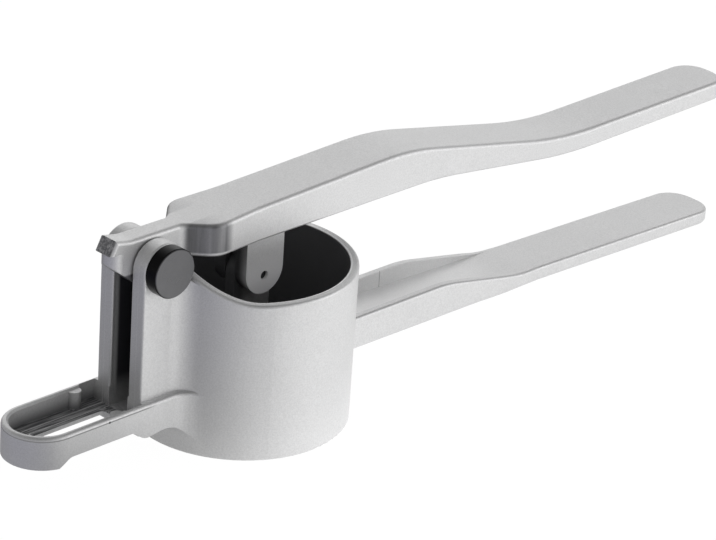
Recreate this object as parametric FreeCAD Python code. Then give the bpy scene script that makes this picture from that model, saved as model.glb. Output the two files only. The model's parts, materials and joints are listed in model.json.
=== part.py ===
import FreeCAD, Part
import math
import os

os.makedirs("parts", exist_ok=True)

# Hand press for spaetzle dough: a cast pot with a drilled base, a plunger, and two long handles.
# Millimetres. +Z up, +X from the pot towards the grips, Y across the handles.
# Origin: centre of the pot's base, on the plane that the press stands on.

# ---------------------------------------------------------------- pot
BORE_R = 40.0            # radius of the pot's bore
POT_WALL = 3.5           # wall of the pot at its rim
POT_DRAFT = 0.4          # how much slimmer the pot is at its foot, for the mould
POT_H = 64.8             # height of the level part of the rim
RIM_OUT_ROUND = 1.2      # rounding of the rim's outer edge
RIM_IN_ROUND = 0.7       # rounding of the rim's inner edge
LIP_W = 1.6              # width of the lip that carries the sieve plate
LIP_T = 1.2              # thickness of that lip

# ---------------------------------------------------------------- sieve plate
SIEVE_T = 3.0            # full thickness of the sieve plate
SIEVE_FIT = 0.1          # radial clearance of the plate in the pot
HOLE_R = 1.5             # dough holes
HOLE_PITCH = 6.4         # distance from one ring of holes to the next
HOLE_RINGS = 5           # rings of holes, six more holes in each

# ---------------------------------------------------------------- hinge uprights
LEVER_GAP = 12.7         # from the rim up to the underside of the lever
HINGE_RISE = 1.5         # hinge axis above the underside of the lever
HINGE_OUT = 8.5          # hinge axis outside the wall of the pot
EAR_R = 10.1             # radius of the top of each upright, about the hinge axis
EAR_GAP = 10.4           # gap between the two uprights
EAR_T = 7.0              # thickness of each upright
EAR_ROUND = 0.9          # rounding of the uprights' edges
EAR_FLARE = 10.0         # hollow between the uprights' outer faces and the pot
FLARE_DROP = 1.6         # how far below the rim that hollow ends
SPOT_MARGIN = 0.8        # flat seat round the cap
SWOOP_R = 19.9           # sweep of the rim up into the uprights
SWEEP_STEPS = 48         # points along the rim
FOOT_EDGE_ROUND = 1.0    # rounding of the pot's foot
SLOT_WALL_DROP = 11.0    # how far below the axis the pot's wall stops between the uprights
THROAT_ROUND = 6.0       # rounding at the bottom of the gap, against the pot

# ---------------------------------------------------------------- rest loop
RAIL_HALF = 15.0         # outer half width of the loop
RAIL_TOP = 27.1          # height of the loop's top
RAIL_BOTTOM = 17.3       # height of the rails' underside
SKIRT_BOTTOM = 14.0      # height of the end skirt's underside
LOOP_REACH = 52.1        # from the uprights' end faces to the end of the loop
SKIRT_L = 11.6           # length of the deeper end skirt
SKIRT_ROUND = 5.0        # hollow between skirt and rail
RAIL_WALL = 2.8          # wall of the loop
LEDGE_T = 1.7            # thickness of the inner ledge
SLOT_HALF = 3.9          # half width of the slot through the ledge
SLOT_INSET = 7.0         # ledge width at the round end
SLOT_BACK = 4.0          # ledge width in front of the uprights
SLOT_CORNER = 2.0        # rounding of the slot's corners there
SLOT_LIP_W = 1.2         # width of the raised lip round the slot
SLOT_LIP_H = 0.6         # height of that lip
FOOT_BOTTOM = 13.0       # height of the web's underside below the uprights
FOOT_L = 5.4             # how far that web reaches past the uprights' end faces
FOOT_ROUND = 6.0         # rounding of that web's front corner
WEB_SLOPE = 0.137        # rise of that underside towards the pot, per millimetre
POST_R = 2.7             # half-round posts on the rails' inner walls
POST_OUT = 11.2          # posts, in front of the uprights' end faces
RELIEF_DEPTH = 1.4       # relief in the rails' inner walls behind the posts
RELIEF_ROUND = 1.2       # rounding of the relief's corners
RAIL_ROUND = 1.6         # rounding of the loop's outer top edge
RAIL_BEVEL = 0.8         # bevel of the loop's inner top edge
RAIL_FLARE = 11.0        # hollow between the rails and the pot, beside and below them
STUB_BOTTOM = 2.5        # the hollow below the rails ends above this height

# ---------------------------------------------------------------- lower handle
GRIP_TIP_X = 268.6       # end of the lower handle
FLANGE_HALF = 14.3       # half width at the flanges
GRIP_HALF = 12.9         # half width at the grip
FLANGE_END_X = 134.0     # the flanged part starts to narrow
GRIP_START_X = 156.0     # the grip starts
FLANGE_FLARE = 5.0       # hollow between the flanges' outer faces and the pot
FLANGE_BEND_R = 60.0     # bends of the flanges' top line
NARROWING_R = 40.0       # bends of the sides where the flanges narrow to the grip
BELLY_R = 300.0          # bend of the underside
FLANGE_TOP = 30.2        # height of the flanges at the pot
FLANGE_DIP_X = 100.0     # middle of the bend where the flanges start to dip
GRIP_TOP_START = 21.1    # height of the grip's top where the grip starts
GRIP_SLOPE = 0.0312      # fall of the grip's top, per millimetre
HANDLE_BOTTOM = 16.5     # height of the underside at the pot
BELLY_X = 118.0          # the underside bends down here
BELLY_BOTTOM = 15.9      # height of the underside at that bend
GRIP_BOTTOM_END = 11.5   # height of the underside at the tip
POCKET_HALF = 11.0       # half width of the open channel between the flanges
GRIP_TIP_ROUND = 10.5    # rounding of the tip, seen from above
GRIP_TOP_ROUND = 1.2     # rounding of the upper edges
GRIP_UNDER_ROUND = 1.8   # rounding of the lower edges

# ---------------------------------------------------------------- lever
LEVER_PAST_GRIP = 0.8    # how far the lever's tip stands out past the lower handle's
NECK_END_X = -37.5       # the neck starts to widen
NECK_HOLLOW = 5.0        # hollow between the neck and the shoulders
SHOULDER_X = -27.5       # corner of the front shoulders
SHOULDER_HALF = 14.6     # half width at that corner
SHOULDER_ROUND = 9.0     # rounding of that corner, seen from above
CHEEK_X = -6.0           # the shoulders end here
CHEEK_R = 40.0           # bend of the sides there
LEVER_HALF_FRONT = 12.9  # half width behind the shoulders
LEVER_HALF_WAIST = 11.9  # half width at the waist
LEVER_HALF_TIP = 12.3    # half width at the tip
WAIST_X = 165.0          # where the waist lies
WAIST_R = 300.0          # bend of the sides there
LEVER_FRONT_X = -34.5    # the top line starts to rise here
LEVER_DEPTH_FRONT = 12.85  # depth of the lever there
FRONT_BEND_R = 60.0      # bend of the top line there
CREST_X = 75.2           # crest of the lever
CREST_DEPTH = 16.7       # depth of the body under the crest's corner
CREST_R = 120.0          # bend over the crest
UNDER_BEND_X = 91.8      # the underside bends down here
UNDER_BEND_R = 185.0     # that bend's radius
SADDLE_X = 164.5         # lowest place of the lever's top
SADDLE_DROP = 18.3       # how far the saddle's corner lies below the crest's corner
SADDLE_R = 180.0         # bend at the saddle
UNDER_SADDLE_X = 167.8   # corner of the underside below the saddle
SADDLE_T = 8.2           # depth of the lever at the saddle
UNDER_SADDLE_R = 215.0   # bend of the underside there
LEVER_TIP_RISE = 1.7     # rise of the top from the saddle's corner to the tip
LEVER_TIP_T = 7.7        # depth of the lever at its tip
LEVER_TIP_ROUND = 10.5   # rounding of the tip, seen from above
LEVER_TOP_ROUND = 1.7    # rounding of the upper edges
LEVER_UNDER_ROUND = 0.9  # rounding of the lower edges
CHANNEL_START_X = -27.0  # the hollow underside starts
CHANNEL_END_X = 150.0    # the hollow underside ends
LEVER_SKIN = 3.6         # thickness over the hollow underside
CHANNEL_ROUND = 2.0      # rounding of the hollow's ends

# ---------------------------------------------------------------- neck, hub and nose of the lever
HUB_SIDE_GAP = 0.5       # side clearance of the hub between the uprights
HUB_R = 9.8              # radius of the hub
NECK_RISE = 11.4         # top of the neck above the hinge axis
NECK_BEND_R = 12.0       # bend of the neck's top up to the nose
NOSE_TOP_OUT = 17.4      # upper corner of the nose, in front of the hinge axis
NOSE_TOP_RISE = 12.9     # the same corner, above the hinge axis
NOSE_LOW_OUT = 20.3      # lower corner of the nose, in front of the hinge axis
NOSE_LOW_RISE = 7.4      # the same corner, above the hinge axis
NOSE_CHIN_OUT = 19.0     # chin below the nose, in front of the hinge axis
NOSE_CHIN_RISE = 2.6     # the same corner, above the hinge axis
CHIN_ROUND = 2.0         # rounding of the chin

# ---------------------------------------------------------------- lugs and plunger
FORK_X = 1.8             # plunger pin, from the pot's axis
FORK_DROP = 17.5         # plunger pin, below the underside of the lever
LUG_DROP = 7.4           # bottom of the lugs below the pin
LUG_R = 9.5              # radius of the lugs' bottom
LUG_GAP = 5.6            # gap between the lugs
LUG_T = 6.2              # thickness of each lug
WEB_SIDE_GAP = 0.35      # side clearance of the plunger's web between the lugs
WEB_HALF = 9.3           # half width of the plunger's web
WEB_FOOT_SPREAD = 9.0    # how far the web spreads where it meets the disc
WEB_FOOT_H = 12.0        # height of that spread
WEB_FOOT_R = 8.0         # bend where the web starts to spread
CROSS_RIB_T = 4.0        # rib across the web
CROSS_RIB_REACH = 22.0   # how far that rib reaches on the disc
CROSS_RIB_H = 15.0       # its height at the web
CROSS_RIB_END_H = 1.0    # its height at its ends
DISC_R = 33.5            # radius of the plunger's disc
DISC_OFFSET = -2.5       # disc centre, from the pot's axis
DISC_T = 4.0             # thickness of the disc
DISC_FLOOR_GAP = 1.0     # from the sieve plate to the disc
DISC_EDGE = 0.8          # bevel of the disc's edges

# ---------------------------------------------------------------- pins and caps
PIN_R = 4.0              # hinge pin
PIN_FIT = 0.06           # radial clearance of the hinge pin
PIN_IN_CAP = 3.4         # how deep the pin goes into its cap
PIN_PAST_RING = 1.0      # how far the pin's other end stands out of its ring
PIN_DOME = 0.8           # bevel of that end
CAP_R = 9.75             # radius of the cap on the hinge pin
CAP_T = 5.3              # thickness of the cap
CAP_FIT = 0.02           # radial clearance of the pin in the cap and in the ring
CAP_BEVEL = 0.5          # bevel of the cap's face
CAP_GAP = 0.1            # gap between the cap or the ring and its upright
RING_R = 6.6             # radius of the push-on ring at the pin's far end
RING_T = 1.6             # thickness of the ring at its bore
RING_EDGE_T = 0.8        # thickness of the ring at its edge
FORK_PIN_R = 1.8         # plunger pin
FORK_PIN_FIT = 0.05      # radial clearance of the plunger pin
FORK_PIN_SUNK = 1.2      # how far the pin's ends lie inside the lugs

# ---------------------------------------------------------------- sizes that follow
POT_R = BORE_R + POT_WALL
LEVER_UNDER = POT_H + LEVER_GAP
HINGE_X = -(POT_R + HINGE_OUT)
HINGE_Z = LEVER_UNDER + HINGE_RISE
EAR_FRONT_X = HINGE_X - EAR_R
EAR_IN = EAR_GAP / 2
EAR_OUT = EAR_IN + EAR_T
TRIM_R = BORE_R + POT_WALL / 2
LOOP_END_X = EAR_FRONT_X - LOOP_REACH
FORK_Z = LEVER_UNDER - FORK_DROP
LUG_IN = LUG_GAP / 2
LUG_OUT = LUG_IN + LUG_T
HUB_HALF = EAR_IN - HUB_SIDE_GAP
DISC_LOW = SIEVE_T + DISC_FLOOR_GAP
DISC_HIGH = DISC_LOW + DISC_T
FOOT_R = POT_R - POT_DRAFT
LEVER_TIP_X = GRIP_TIP_X + LEVER_PAST_GRIP
BIG = 400.0              # longer than anything here, for cutting tools
OVER = 1.0               # how far a cutting tool reaches past what it cuts
NEAR = 1e-3              # closer than this, two values are the same
PROBE = 0.6              # step from an edge to a point that tells which side is solid


def xz(y):
    """Return a function that places a point (x, z) in the plane across the handles at y."""
    return lambda a, b: FreeCAD.Vector(a, y, b)


def xy(z):
    """Return a function that places a point (x, y) in the level plane at z."""
    return lambda a, b: FreeCAD.Vector(a, b, z)


def yz(x):
    """Return a function that places a point (y, z) in the plane square to the handles at x."""
    return lambda a, b: FreeCAD.Vector(x, a, b)


def outline(corners, place):
    """Closed face through corners (a, b, radius), each corner rounded by its radius."""
    edges = []
    last = None
    first = None
    count = len(corners)
    for i, (a, b, radius) in enumerate(corners):
        before = corners[i - 1]
        after = corners[(i + 1) % count]
        in_x, in_y = before[0] - a, before[1] - b
        out_x, out_y = after[0] - a, after[1] - b
        in_l, out_l = math.hypot(in_x, in_y), math.hypot(out_x, out_y)
        in_x, in_y, out_x, out_y = in_x / in_l, in_y / in_l, out_x / out_l, out_y / out_l
        start = end = (a, b)
        if radius > 0:
            half = math.acos(max(-1.0, min(1.0, in_x * out_x + in_y * out_y))) / 2
            run = radius / math.tan(half)
            start = (a + in_x * run, b + in_y * run)
            end = (a + out_x * run, b + out_y * run)
            mid_x, mid_y = in_x + out_x, in_y + out_y
            mid_l = math.hypot(mid_x, mid_y)
            depth = radius / math.sin(half) - radius
            middle = (a + mid_x / mid_l * depth, b + mid_y / mid_l * depth)
        if last is not None and math.dist(last, start) > NEAR:
            edges.append(Part.LineSegment(place(*last), place(*start)).toShape())
        if radius > 0:
            edges.append(Part.Arc(place(*start), place(*middle), place(*end)).toShape())
        first = first or start
        last = end
    if math.dist(last, first) > NEAR:
        edges.append(Part.LineSegment(place(*last), place(*first)).toShape())
    return Part.Face(Part.Wire(edges))


def side_prism(corners, y_low, y_high):
    """Solid with a side outline in (x, z), from y_low to y_high."""
    return outline(corners, xz(y_low)).extrude(FreeCAD.Vector(0, y_high - y_low, 0))


def plan_prism(corners, z_low, z_high):
    """Solid with an outline in (x, y) seen from above, from z_low to z_high."""
    return outline(corners, xy(z_low)).extrude(FreeCAD.Vector(0, 0, z_high - z_low))


def box(x_low, x_high, y_low, y_high, z_low, z_high):
    """Upright block between two corners."""
    corner = FreeCAD.Vector(x_low, y_low, z_low)
    return Part.makeBox(x_high - x_low, y_high - y_low, z_high - z_low, corner)


def cross_cylinder(radius, y_low, y_high, x, z):
    """Cylinder along Y about the axis at (x, z)."""
    base = FreeCAD.Vector(x, y_low, z)
    return Part.makeCylinder(radius, y_high - y_low, base, FreeCAD.Vector(0, 1, 0))


def upright_cylinder(radius, z_low, z_high, x=0.0, y=0.0):
    """Cylinder along Z."""
    return Part.makeCylinder(radius, z_high - z_low, FreeCAD.Vector(x, y, z_low))


def mirrored(shape):
    """The shape's twin on the other side of the plane of the handles."""
    return shape.mirror(FreeCAD.Vector(0, 0, 0), FreeCAD.Vector(0, 1, 0))


def revolved(points):
    """Solid turned about the pot's axis from a closed outline of (radius, z) points."""
    vectors = [FreeCAD.Vector(r, 0, z) for r, z in points]
    wire = Part.makePolygon(vectors + vectors[:1])
    return Part.Face(wire).revolve(FreeCAD.Vector(0, 0, 0), FreeCAD.Vector(0, 0, 1), 360)


def edges_where(shape, test):
    """Edges whose middle point passes the test."""
    found = []
    for edge in shape.Edges:
        if edge.Length > NEAR:
            middle = edge.valueAt((edge.FirstParameter + edge.LastParameter) / 2)
            if test(middle):
                found.append(edge)
    return found


# ---------------------------------------------------------------- pot body

def swoop_points():
    """Where the rim's sweep starts, its centre, and where it touches the uprights' round tops."""
    centre_z = POT_H + SWOOP_R
    reach = math.sqrt((SWOOP_R + EAR_R) ** 2 - (centre_z - HINGE_Z) ** 2)
    centre_x = HINGE_X + reach
    share = EAR_R / (SWOOP_R + EAR_R)
    touch = (HINGE_X + reach * share, HINGE_Z + (centre_z - HINGE_Z) * share)
    return (centre_x, POT_H), (centre_x, centre_z), touch


def on_swoop(x):
    """Height of the rim's sweep at x."""
    _, (centre_x, centre_z), _ = swoop_points()
    return centre_z - math.sqrt(SWOOP_R ** 2 - (x - centre_x) ** 2)


def rim_curve(radius):
    """Closed line of the rim at one radius: level round the front, swept up at the back."""
    start, _, _ = swoop_points()
    points = []
    for k in range(SWEEP_STEPS):
        angle = 2 * math.pi * k / SWEEP_STEPS
        x = TRIM_R * math.cos(angle)
        height = POT_H if x >= start[0] else on_swoop(x)
        points.append(FreeCAD.Vector(radius * math.cos(angle), radius * math.sin(angle), height))
    curve = Part.BSplineCurve()
    curve.interpolate(Points=points, PeriodicFlag=True)
    return curve.toShape()


def above_rim():
    """Everything above the rim, which stays square to the wall all round."""
    sweep = Part.makeRuledSurface(rim_curve(BORE_R - POT_WALL), rim_curve(POT_R + EAR_FLARE))
    return sweep.extrude(FreeCAD.Vector(0, 0, BIG))


def pot_outside(z):
    """Radius of the pot's outer face at height z."""
    return FOOT_R + POT_DRAFT * z / POT_H


def pot_shell():
    """Round wall of the pot with its rounded, swept rim and the lip for the sieve plate."""
    top = swoop_points()[2][1]
    shell = revolved([(BORE_R - LIP_W, 0), (FOOT_R, 0), (pot_outside(top), top), (BORE_R, top),
                      (BORE_R, LIP_T), (BORE_R - LIP_W, LIP_T)])
    foot = edges_where(shell, lambda p: p.z < NEAR and math.hypot(p.x, p.y) > BORE_R)
    shell = shell.makeFillet(FOOT_EDGE_ROUND, foot)
    shell = shell.cut(above_rim())

    def on_rim(point, radius, slack):
        near_wall = abs(math.hypot(point.x, point.y) - radius) < slack
        return near_wall and point.z > POT_H - RIM_OUT_ROUND

    outer = edges_where(shell, lambda p: on_rim(p, POT_R, POT_DRAFT))
    shell = shell.makeFillet(RIM_OUT_ROUND, outer)
    inner = edges_where(shell, lambda p: on_rim(p, BORE_R, SIEVE_FIT))
    return shell.makeFillet(RIM_IN_ROUND, inner)


def upright():
    """One hinge upright: a slab with a round top, swept into the rim at its back."""
    _, _, touch = swoop_points()
    root_x = -BORE_R
    place = xz(EAR_IN)
    front_low = (EAR_FRONT_X, FOOT_BOTTOM)
    front_high = (EAR_FRONT_X, HINGE_Z)
    root_high = (root_x, on_swoop(root_x))
    root_low = (root_x, FOOT_BOTTOM)
    middle_x = (touch[0] + root_x) / 2
    edges = [
        Part.LineSegment(place(*front_low), place(*front_high)).toShape(),
        Part.Arc(place(*front_high), place(HINGE_X, HINGE_Z + EAR_R), place(*touch)).toShape(),
        Part.Arc(place(*touch), place(middle_x, on_swoop(middle_x)), place(*root_high)).toShape(),
        Part.LineSegment(place(*root_high), place(*root_low)).toShape(),
        Part.LineSegment(place(*root_low), place(*front_low)).toShape(),
    ]
    slab = Part.Face(Part.Wire(edges)).extrude(FreeCAD.Vector(0, EAR_T, 0))
    rounded = edges_where(slab, lambda p: p.x < touch[0] and p.z > RAIL_TOP and
                          min(abs(p.y - EAR_IN), abs(p.y - EAR_OUT)) < NEAR)
    return slab.makeFillet(EAR_ROUND, rounded)


def flare(half, radius, direction):
    """Hollow corner that leads a straight side at y = half into the pot's wall.

    Gives the outline's corner and the point on the wall where the hollow ends, both on the
    side of the pot that direction (-1 or 1) names.
    """
    centre_y = half + radius
    centre_x = math.sqrt((FOOT_R + radius) ** 2 - centre_y ** 2)
    share = FOOT_R / (FOOT_R + radius)
    touch_x, touch_y = centre_x * share, centre_y * share
    corner_x = touch_x + (touch_y - half) * centre_y / centre_x
    return (direction * corner_x, half, radius), (direction * touch_x, touch_y, 0)


def upright_flare():
    """Hollow between an upright's outer face and the pot, up to just below the rim."""
    low, high = RAIL_TOP - OVER, HINGE_Z
    stub = revolved([(0, low), (pot_outside(low), low), (pot_outside(high), high), (0, high)])
    root = stub.fuse(box(-POT_R - EAR_FLARE, 0, -EAR_OUT, EAR_OUT, low, high))

    def at_root(point):
        on_wall = abs(math.hypot(point.x, point.y) - FOOT_R) < 2 * POT_DRAFT
        return on_wall and point.x < 0 and low + NEAR < point.z < high - NEAR

    root = root.makeFillet(EAR_FLARE, edges_where(root, at_root))
    root = root.common(box(-POT_R - EAR_FLARE, -BORE_R / 2, EAR_OUT - OVER, POT_R, low, high))
    roof = above_rim()
    roof.translate(FreeCAD.Vector(0, 0, -FLARE_DROP))
    return root.cut(roof)


def racetrack(half, end_x, back_x, back_round=0):
    """Corners of an outline with a round end at end_x and a straight back at back_x."""
    return [(back_x, -half, back_round), (back_x, half, back_round), (end_x, half, half),
            (end_x, -half, half)]


def rest_loop():
    """The loop opposite the handles: two rails on the pot's wall, and a deeper round end."""
    skirt_x = LOOP_END_X + SKIRT_L
    hollow = math.sqrt(SKIRT_ROUND ** 2 - (SKIRT_ROUND - (RAIL_BOTTOM - SKIRT_BOTTOM)) ** 2)
    foot_x = EAR_FRONT_X - FOOT_L
    web_x = foot_x + FOOT_ROUND
    # side view: skirt, hollow, rail, then the deeper web below the uprights
    side = [(LOOP_END_X - OVER, RAIL_TOP, 0), (0, RAIL_TOP, 0), (0, FOOT_BOTTOM - WEB_SLOPE * web_x, 0),
            (web_x, FOOT_BOTTOM, FOOT_ROUND), (foot_x, RAIL_BOTTOM, 0),
            (skirt_x + hollow, RAIL_BOTTOM, SKIRT_ROUND), (skirt_x, SKIRT_BOTTOM, 0),
            (LOOP_END_X - OVER, SKIRT_BOTTOM, 0)]
    block = plan_prism(racetrack(RAIL_HALF, LOOP_END_X, 0), FOOT_BOTTOM - OVER, RAIL_TOP)
    block = block.common(side_prism(side, -POT_R, POT_R))
    # a stub of the pot, so that the rails run into its wall with a hollow beside and below them
    stub = revolved([(0, STUB_BOTTOM), (pot_outside(STUB_BOTTOM), STUB_BOTTOM),
                     (pot_outside(RAIL_TOP), RAIL_TOP), (0, RAIL_TOP)])
    loop = stub.fuse(block)

    def at_root(point):
        on_wall = abs(math.hypot(point.x, point.y) - FOOT_R) < POT_DRAFT
        return on_wall and point.x < 0 and abs(point.y) < RAIL_HALF + NEAR and \
            FOOT_BOTTOM < point.z < RAIL_TOP - NEAR

    loop = loop.makeFillet(RAIL_FLARE, edges_where(loop, at_root))
    top_edges = edges_where(loop, lambda p: abs(p.z - RAIL_TOP) < NEAR and p.x < 0 and
                            math.hypot(p.x, p.y) > pot_outside(RAIL_TOP) + NEAR)
    loop = loop.makeFillet(RAIL_ROUND, top_edges)
    return loop.common(box(LOOP_END_X, -BORE_R / 2, -POT_R, POT_R, 0, RAIL_TOP))


def slot_outline(margin):
    """Corners of the loop's slot, or of an outline round it at a margin."""
    end_x = LOOP_END_X + RAIL_WALL + SLOT_INSET - margin
    back_x = EAR_FRONT_X - SLOT_BACK + margin
    return racetrack(SLOT_HALF + margin, end_x, back_x, SLOT_CORNER)


def loop_hollow():
    """What is taken out of the loop: the tray above the ledge, the slot and the reliefs."""
    tray_half = RAIL_HALF - RAIL_WALL
    tray_end = LOOP_END_X + RAIL_WALL
    floor = RAIL_BOTTOM + LEDGE_T
    high = RAIL_TOP + OVER
    tray = plan_prism(racetrack(tray_half, tray_end, EAR_FRONT_X), floor, high)
    mouth_z = RAIL_TOP - RAIL_BEVEL
    mouth = plan_prism(racetrack(tray_half + RAIL_BEVEL, tray_end - RAIL_BEVEL, EAR_FRONT_X),
                       mouth_z, high)
    mouth = mouth.makeChamfer(RAIL_BEVEL, edges_where(mouth, lambda p: abs(p.z - mouth_z) < NEAR and
                                                      p.x < EAR_FRONT_X - NEAR))
    slot = plan_prism(slot_outline(0), FOOT_BOTTOM - OVER, high)
    lip = plan_prism(slot_outline(SLOT_LIP_W), FOOT_BOTTOM, floor + SLOT_LIP_H)
    relief_half = tray_half + RELIEF_DEPTH
    relief_x = EAR_FRONT_X - POST_OUT + POST_R
    relief = plan_prism([(relief_x, -relief_half, RELIEF_ROUND), (relief_x, relief_half, RELIEF_ROUND),
                         (EAR_FRONT_X, relief_half, 0), (EAR_FRONT_X, -relief_half, 0)], floor, high)
    front_x = EAR_FRONT_X - OVER
    throat = side_prism([(front_x, floor, 0), (-TRIM_R, floor, THROAT_ROUND),
                         (-TRIM_R, BIG, 0), (front_x, BIG, 0)], -EAR_IN, EAR_IN)
    return tray.fuse([mouth, relief]).cut(lip).fuse([slot, throat])


def loop_posts():
    """Half-round posts that stand on the ledge against the rails."""
    floor = RAIL_BOTTOM + LEDGE_T
    post = upright_cylinder(POST_R, floor - LEDGE_T / 2, RAIL_TOP - RAIL_BEVEL,
                            EAR_FRONT_X - POST_OUT, RAIL_HALF - RAIL_WALL)
    return [post, mirrored(post)]


def skin_edges(body, side, from_x):
    """Edges round the body's top (side 1) or its underside (side -1), beyond from_x.

    Such an edge has material on one side of it only, above or below, just in from the wall.
    """
    def at_skin(point):
        if point.x < from_x or abs(point.y) < NEAR and point.x < body.BoundBox.XMax - NEAR:
            return False
        inner = point + FreeCAD.Vector(0, -math.copysign(PROBE, point.y), 0)
        if point.x > body.BoundBox.XMax - NEAR:
            inner = point - FreeCAD.Vector(PROBE, 0, 0)
        step = FreeCAD.Vector(0, 0, side * PROBE)
        outside = not body.isInside(inner + step, NEAR, True)
        return outside and body.isInside(inner - step, NEAR, True)

    return edges_where(body, at_skin)


def grip_top(x):
    """Height of the lower handle's plane top, from the pocket's floor to the tip."""
    return GRIP_TOP_START - GRIP_SLOPE * (x - GRIP_START_X)


def lower_handle():
    """Lower handle: an open channel between two flanges that runs out into a flat grip."""
    dip_end_x = (GRIP_START_X + FLANGE_END_X) / 2
    end_x = GRIP_TIP_X + OVER
    side = [(0, HANDLE_BOTTOM, 0), (0, FLANGE_TOP, 0), (FLANGE_DIP_X, FLANGE_TOP, FLANGE_BEND_R),
            (dip_end_x, grip_top(dip_end_x), FLANGE_BEND_R), (end_x, grip_top(end_x), 0),
            (end_x, GRIP_BOTTOM_END, 0), (BELLY_X, BELLY_BOTTOM, BELLY_R)]
    corner, touch = flare(FLANGE_HALF, FLANGE_FLARE, 1)
    plan = [(0, FLANGE_HALF, 0), touch, corner, (FLANGE_END_X, FLANGE_HALF, NARROWING_R),
            (GRIP_START_X, GRIP_HALF, NARROWING_R), (GRIP_TIP_X, GRIP_HALF, GRIP_TIP_ROUND)]
    plan += [(x, -y, radius) for x, y, radius in reversed(plan)]
    handle = side_prism(side, -POT_R, POT_R).common(plan_prism(plan, 0, POT_H))
    handle = handle.makeFillet(GRIP_TOP_ROUND, skin_edges(handle, 1, touch[0]))
    handle = handle.makeFillet(GRIP_UNDER_ROUND, skin_edges(handle, -1, touch[0]))
    pocket = side_prism([(0, grip_top(0), 0), (GRIP_START_X, grip_top(GRIP_START_X), 0),
                         (GRIP_START_X, POT_H, 0), (0, POT_H, 0)], -POCKET_HALF, POCKET_HALF)
    return handle.cut(pocket)


def pot_body():
    """The casting: pot, uprights, rest loop and lower handle in one piece."""
    ear = upright().fuse(upright_flare())
    loop = rest_loop().cut(loop_hollow()).fuse(loop_posts())
    core = upright_cylinder(TRIM_R, -OVER, BIG)
    arms = ear.fuse([mirrored(ear), loop, lower_handle()]).cut(core)
    slot = box(-POT_R - OVER, -BORE_R / 2, -EAR_IN, EAR_IN, HINGE_Z - SLOT_WALL_DROP, BIG)
    body = pot_shell().cut(slot).fuse(arms)
    bore = cross_cylinder(PIN_R + PIN_FIT, -EAR_OUT - OVER, EAR_OUT + OVER, HINGE_X, HINGE_Z)
    seat = cross_cylinder(CAP_R + SPOT_MARGIN, EAR_OUT, EAR_OUT + 2 * EAR_FLARE, HINGE_X, HINGE_Z)
    return body.cut([bore, seat, mirrored(seat)])


# ---------------------------------------------------------------- sieve plate

def sieve_plate():
    """Stepped steel plate on the pot's lip, flush with the pot's foot, with rings of holes."""
    step_r = BORE_R - LIP_W - SIEVE_FIT
    rim_r = BORE_R - SIEVE_FIT
    plate = revolved([(0, 0), (step_r, 0), (step_r, LIP_T), (rim_r, LIP_T), (rim_r, SIEVE_T),
                      (0, SIEVE_T)])
    holes = []
    for ring in range(1, HOLE_RINGS + 1):
        radius = ring * HOLE_PITCH
        for k in range(6 * ring):
            angle = 2 * math.pi * k / (6 * ring)
            holes.append(upright_cylinder(HOLE_R, -OVER, SIEVE_T + OVER,
                                          radius * math.cos(angle), radius * math.sin(angle)))
    return plate.cut(Part.makeCompound(holes))


# ---------------------------------------------------------------- lever

def lever_top_points():
    """Corners of the lever's top line behind the neck, front to tip: (x, z)."""
    crest_z = LEVER_UNDER + CREST_DEPTH
    saddle_z = crest_z - SADDLE_DROP
    return [(LEVER_FRONT_X, LEVER_UNDER + LEVER_DEPTH_FRONT), (CREST_X, crest_z),
            (SADDLE_X, saddle_z), (LEVER_TIP_X, saddle_z + LEVER_TIP_RISE)]


def lever_flank():
    """Face of the lever seen from the side: nose, neck and body, with the hub's circle."""
    front, crest, saddle, tip = lever_top_points()
    chin = (HINGE_X - NOSE_CHIN_OUT, HINGE_Z + NOSE_CHIN_RISE)
    # the chin's underside touches the hub's circle, so it runs into it with no step
    reach = math.hypot(NOSE_CHIN_OUT, NOSE_CHIN_RISE)
    to_hub = math.atan2(-NOSE_CHIN_RISE, NOSE_CHIN_OUT) - math.asin(HUB_R / reach)
    run = math.sqrt(reach ** 2 - HUB_R ** 2)
    touch = (chin[0] + run * math.cos(to_hub), chin[1] + run * math.sin(to_hub))
    corners = [(HINGE_X - NOSE_TOP_OUT, HINGE_Z + NOSE_TOP_RISE, 0),
               (HINGE_X - EAR_R, HINGE_Z + NECK_RISE, NECK_BEND_R), front + (FRONT_BEND_R,),
               crest + (CREST_R,), saddle + (SADDLE_R,), tip + (0,),
               (tip[0], tip[1] - LEVER_TIP_T, 0),
               (UNDER_SADDLE_X, saddle[1] - SADDLE_T, UNDER_SADDLE_R),
               (UNDER_BEND_X, LEVER_UNDER, UNDER_BEND_R), (HINGE_X, LEVER_UNDER, 0),
               touch + (0,), chin + (CHIN_ROUND,),
               (HINGE_X - NOSE_LOW_OUT, HINGE_Z + NOSE_LOW_RISE, 0)]
    place = xz(-SHOULDER_HALF)
    hub = Part.Circle(place(HINGE_X, HINGE_Z), FreeCAD.Vector(0, 1, 0), HUB_R).toShape()
    return outline(corners, place).fuse(Part.Face(Part.Wire(hub))).removeSplitter()


def lever_plan():
    """Corners of the lever seen from above: slim neck, shoulders, waist and round tip."""
    nose_x = HINGE_X - NOSE_LOW_OUT - OVER
    half = [(nose_x, HUB_HALF, 0), (NECK_END_X, HUB_HALF, NECK_HOLLOW),
            (SHOULDER_X, SHOULDER_HALF, SHOULDER_ROUND), (CHEEK_X, LEVER_HALF_FRONT, CHEEK_R),
            (WAIST_X, LEVER_HALF_WAIST, WAIST_R), (LEVER_TIP_X, LEVER_HALF_TIP, LEVER_TIP_ROUND)]
    return half + [(x, -y, radius) for x, y, radius in reversed(half)]


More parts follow.
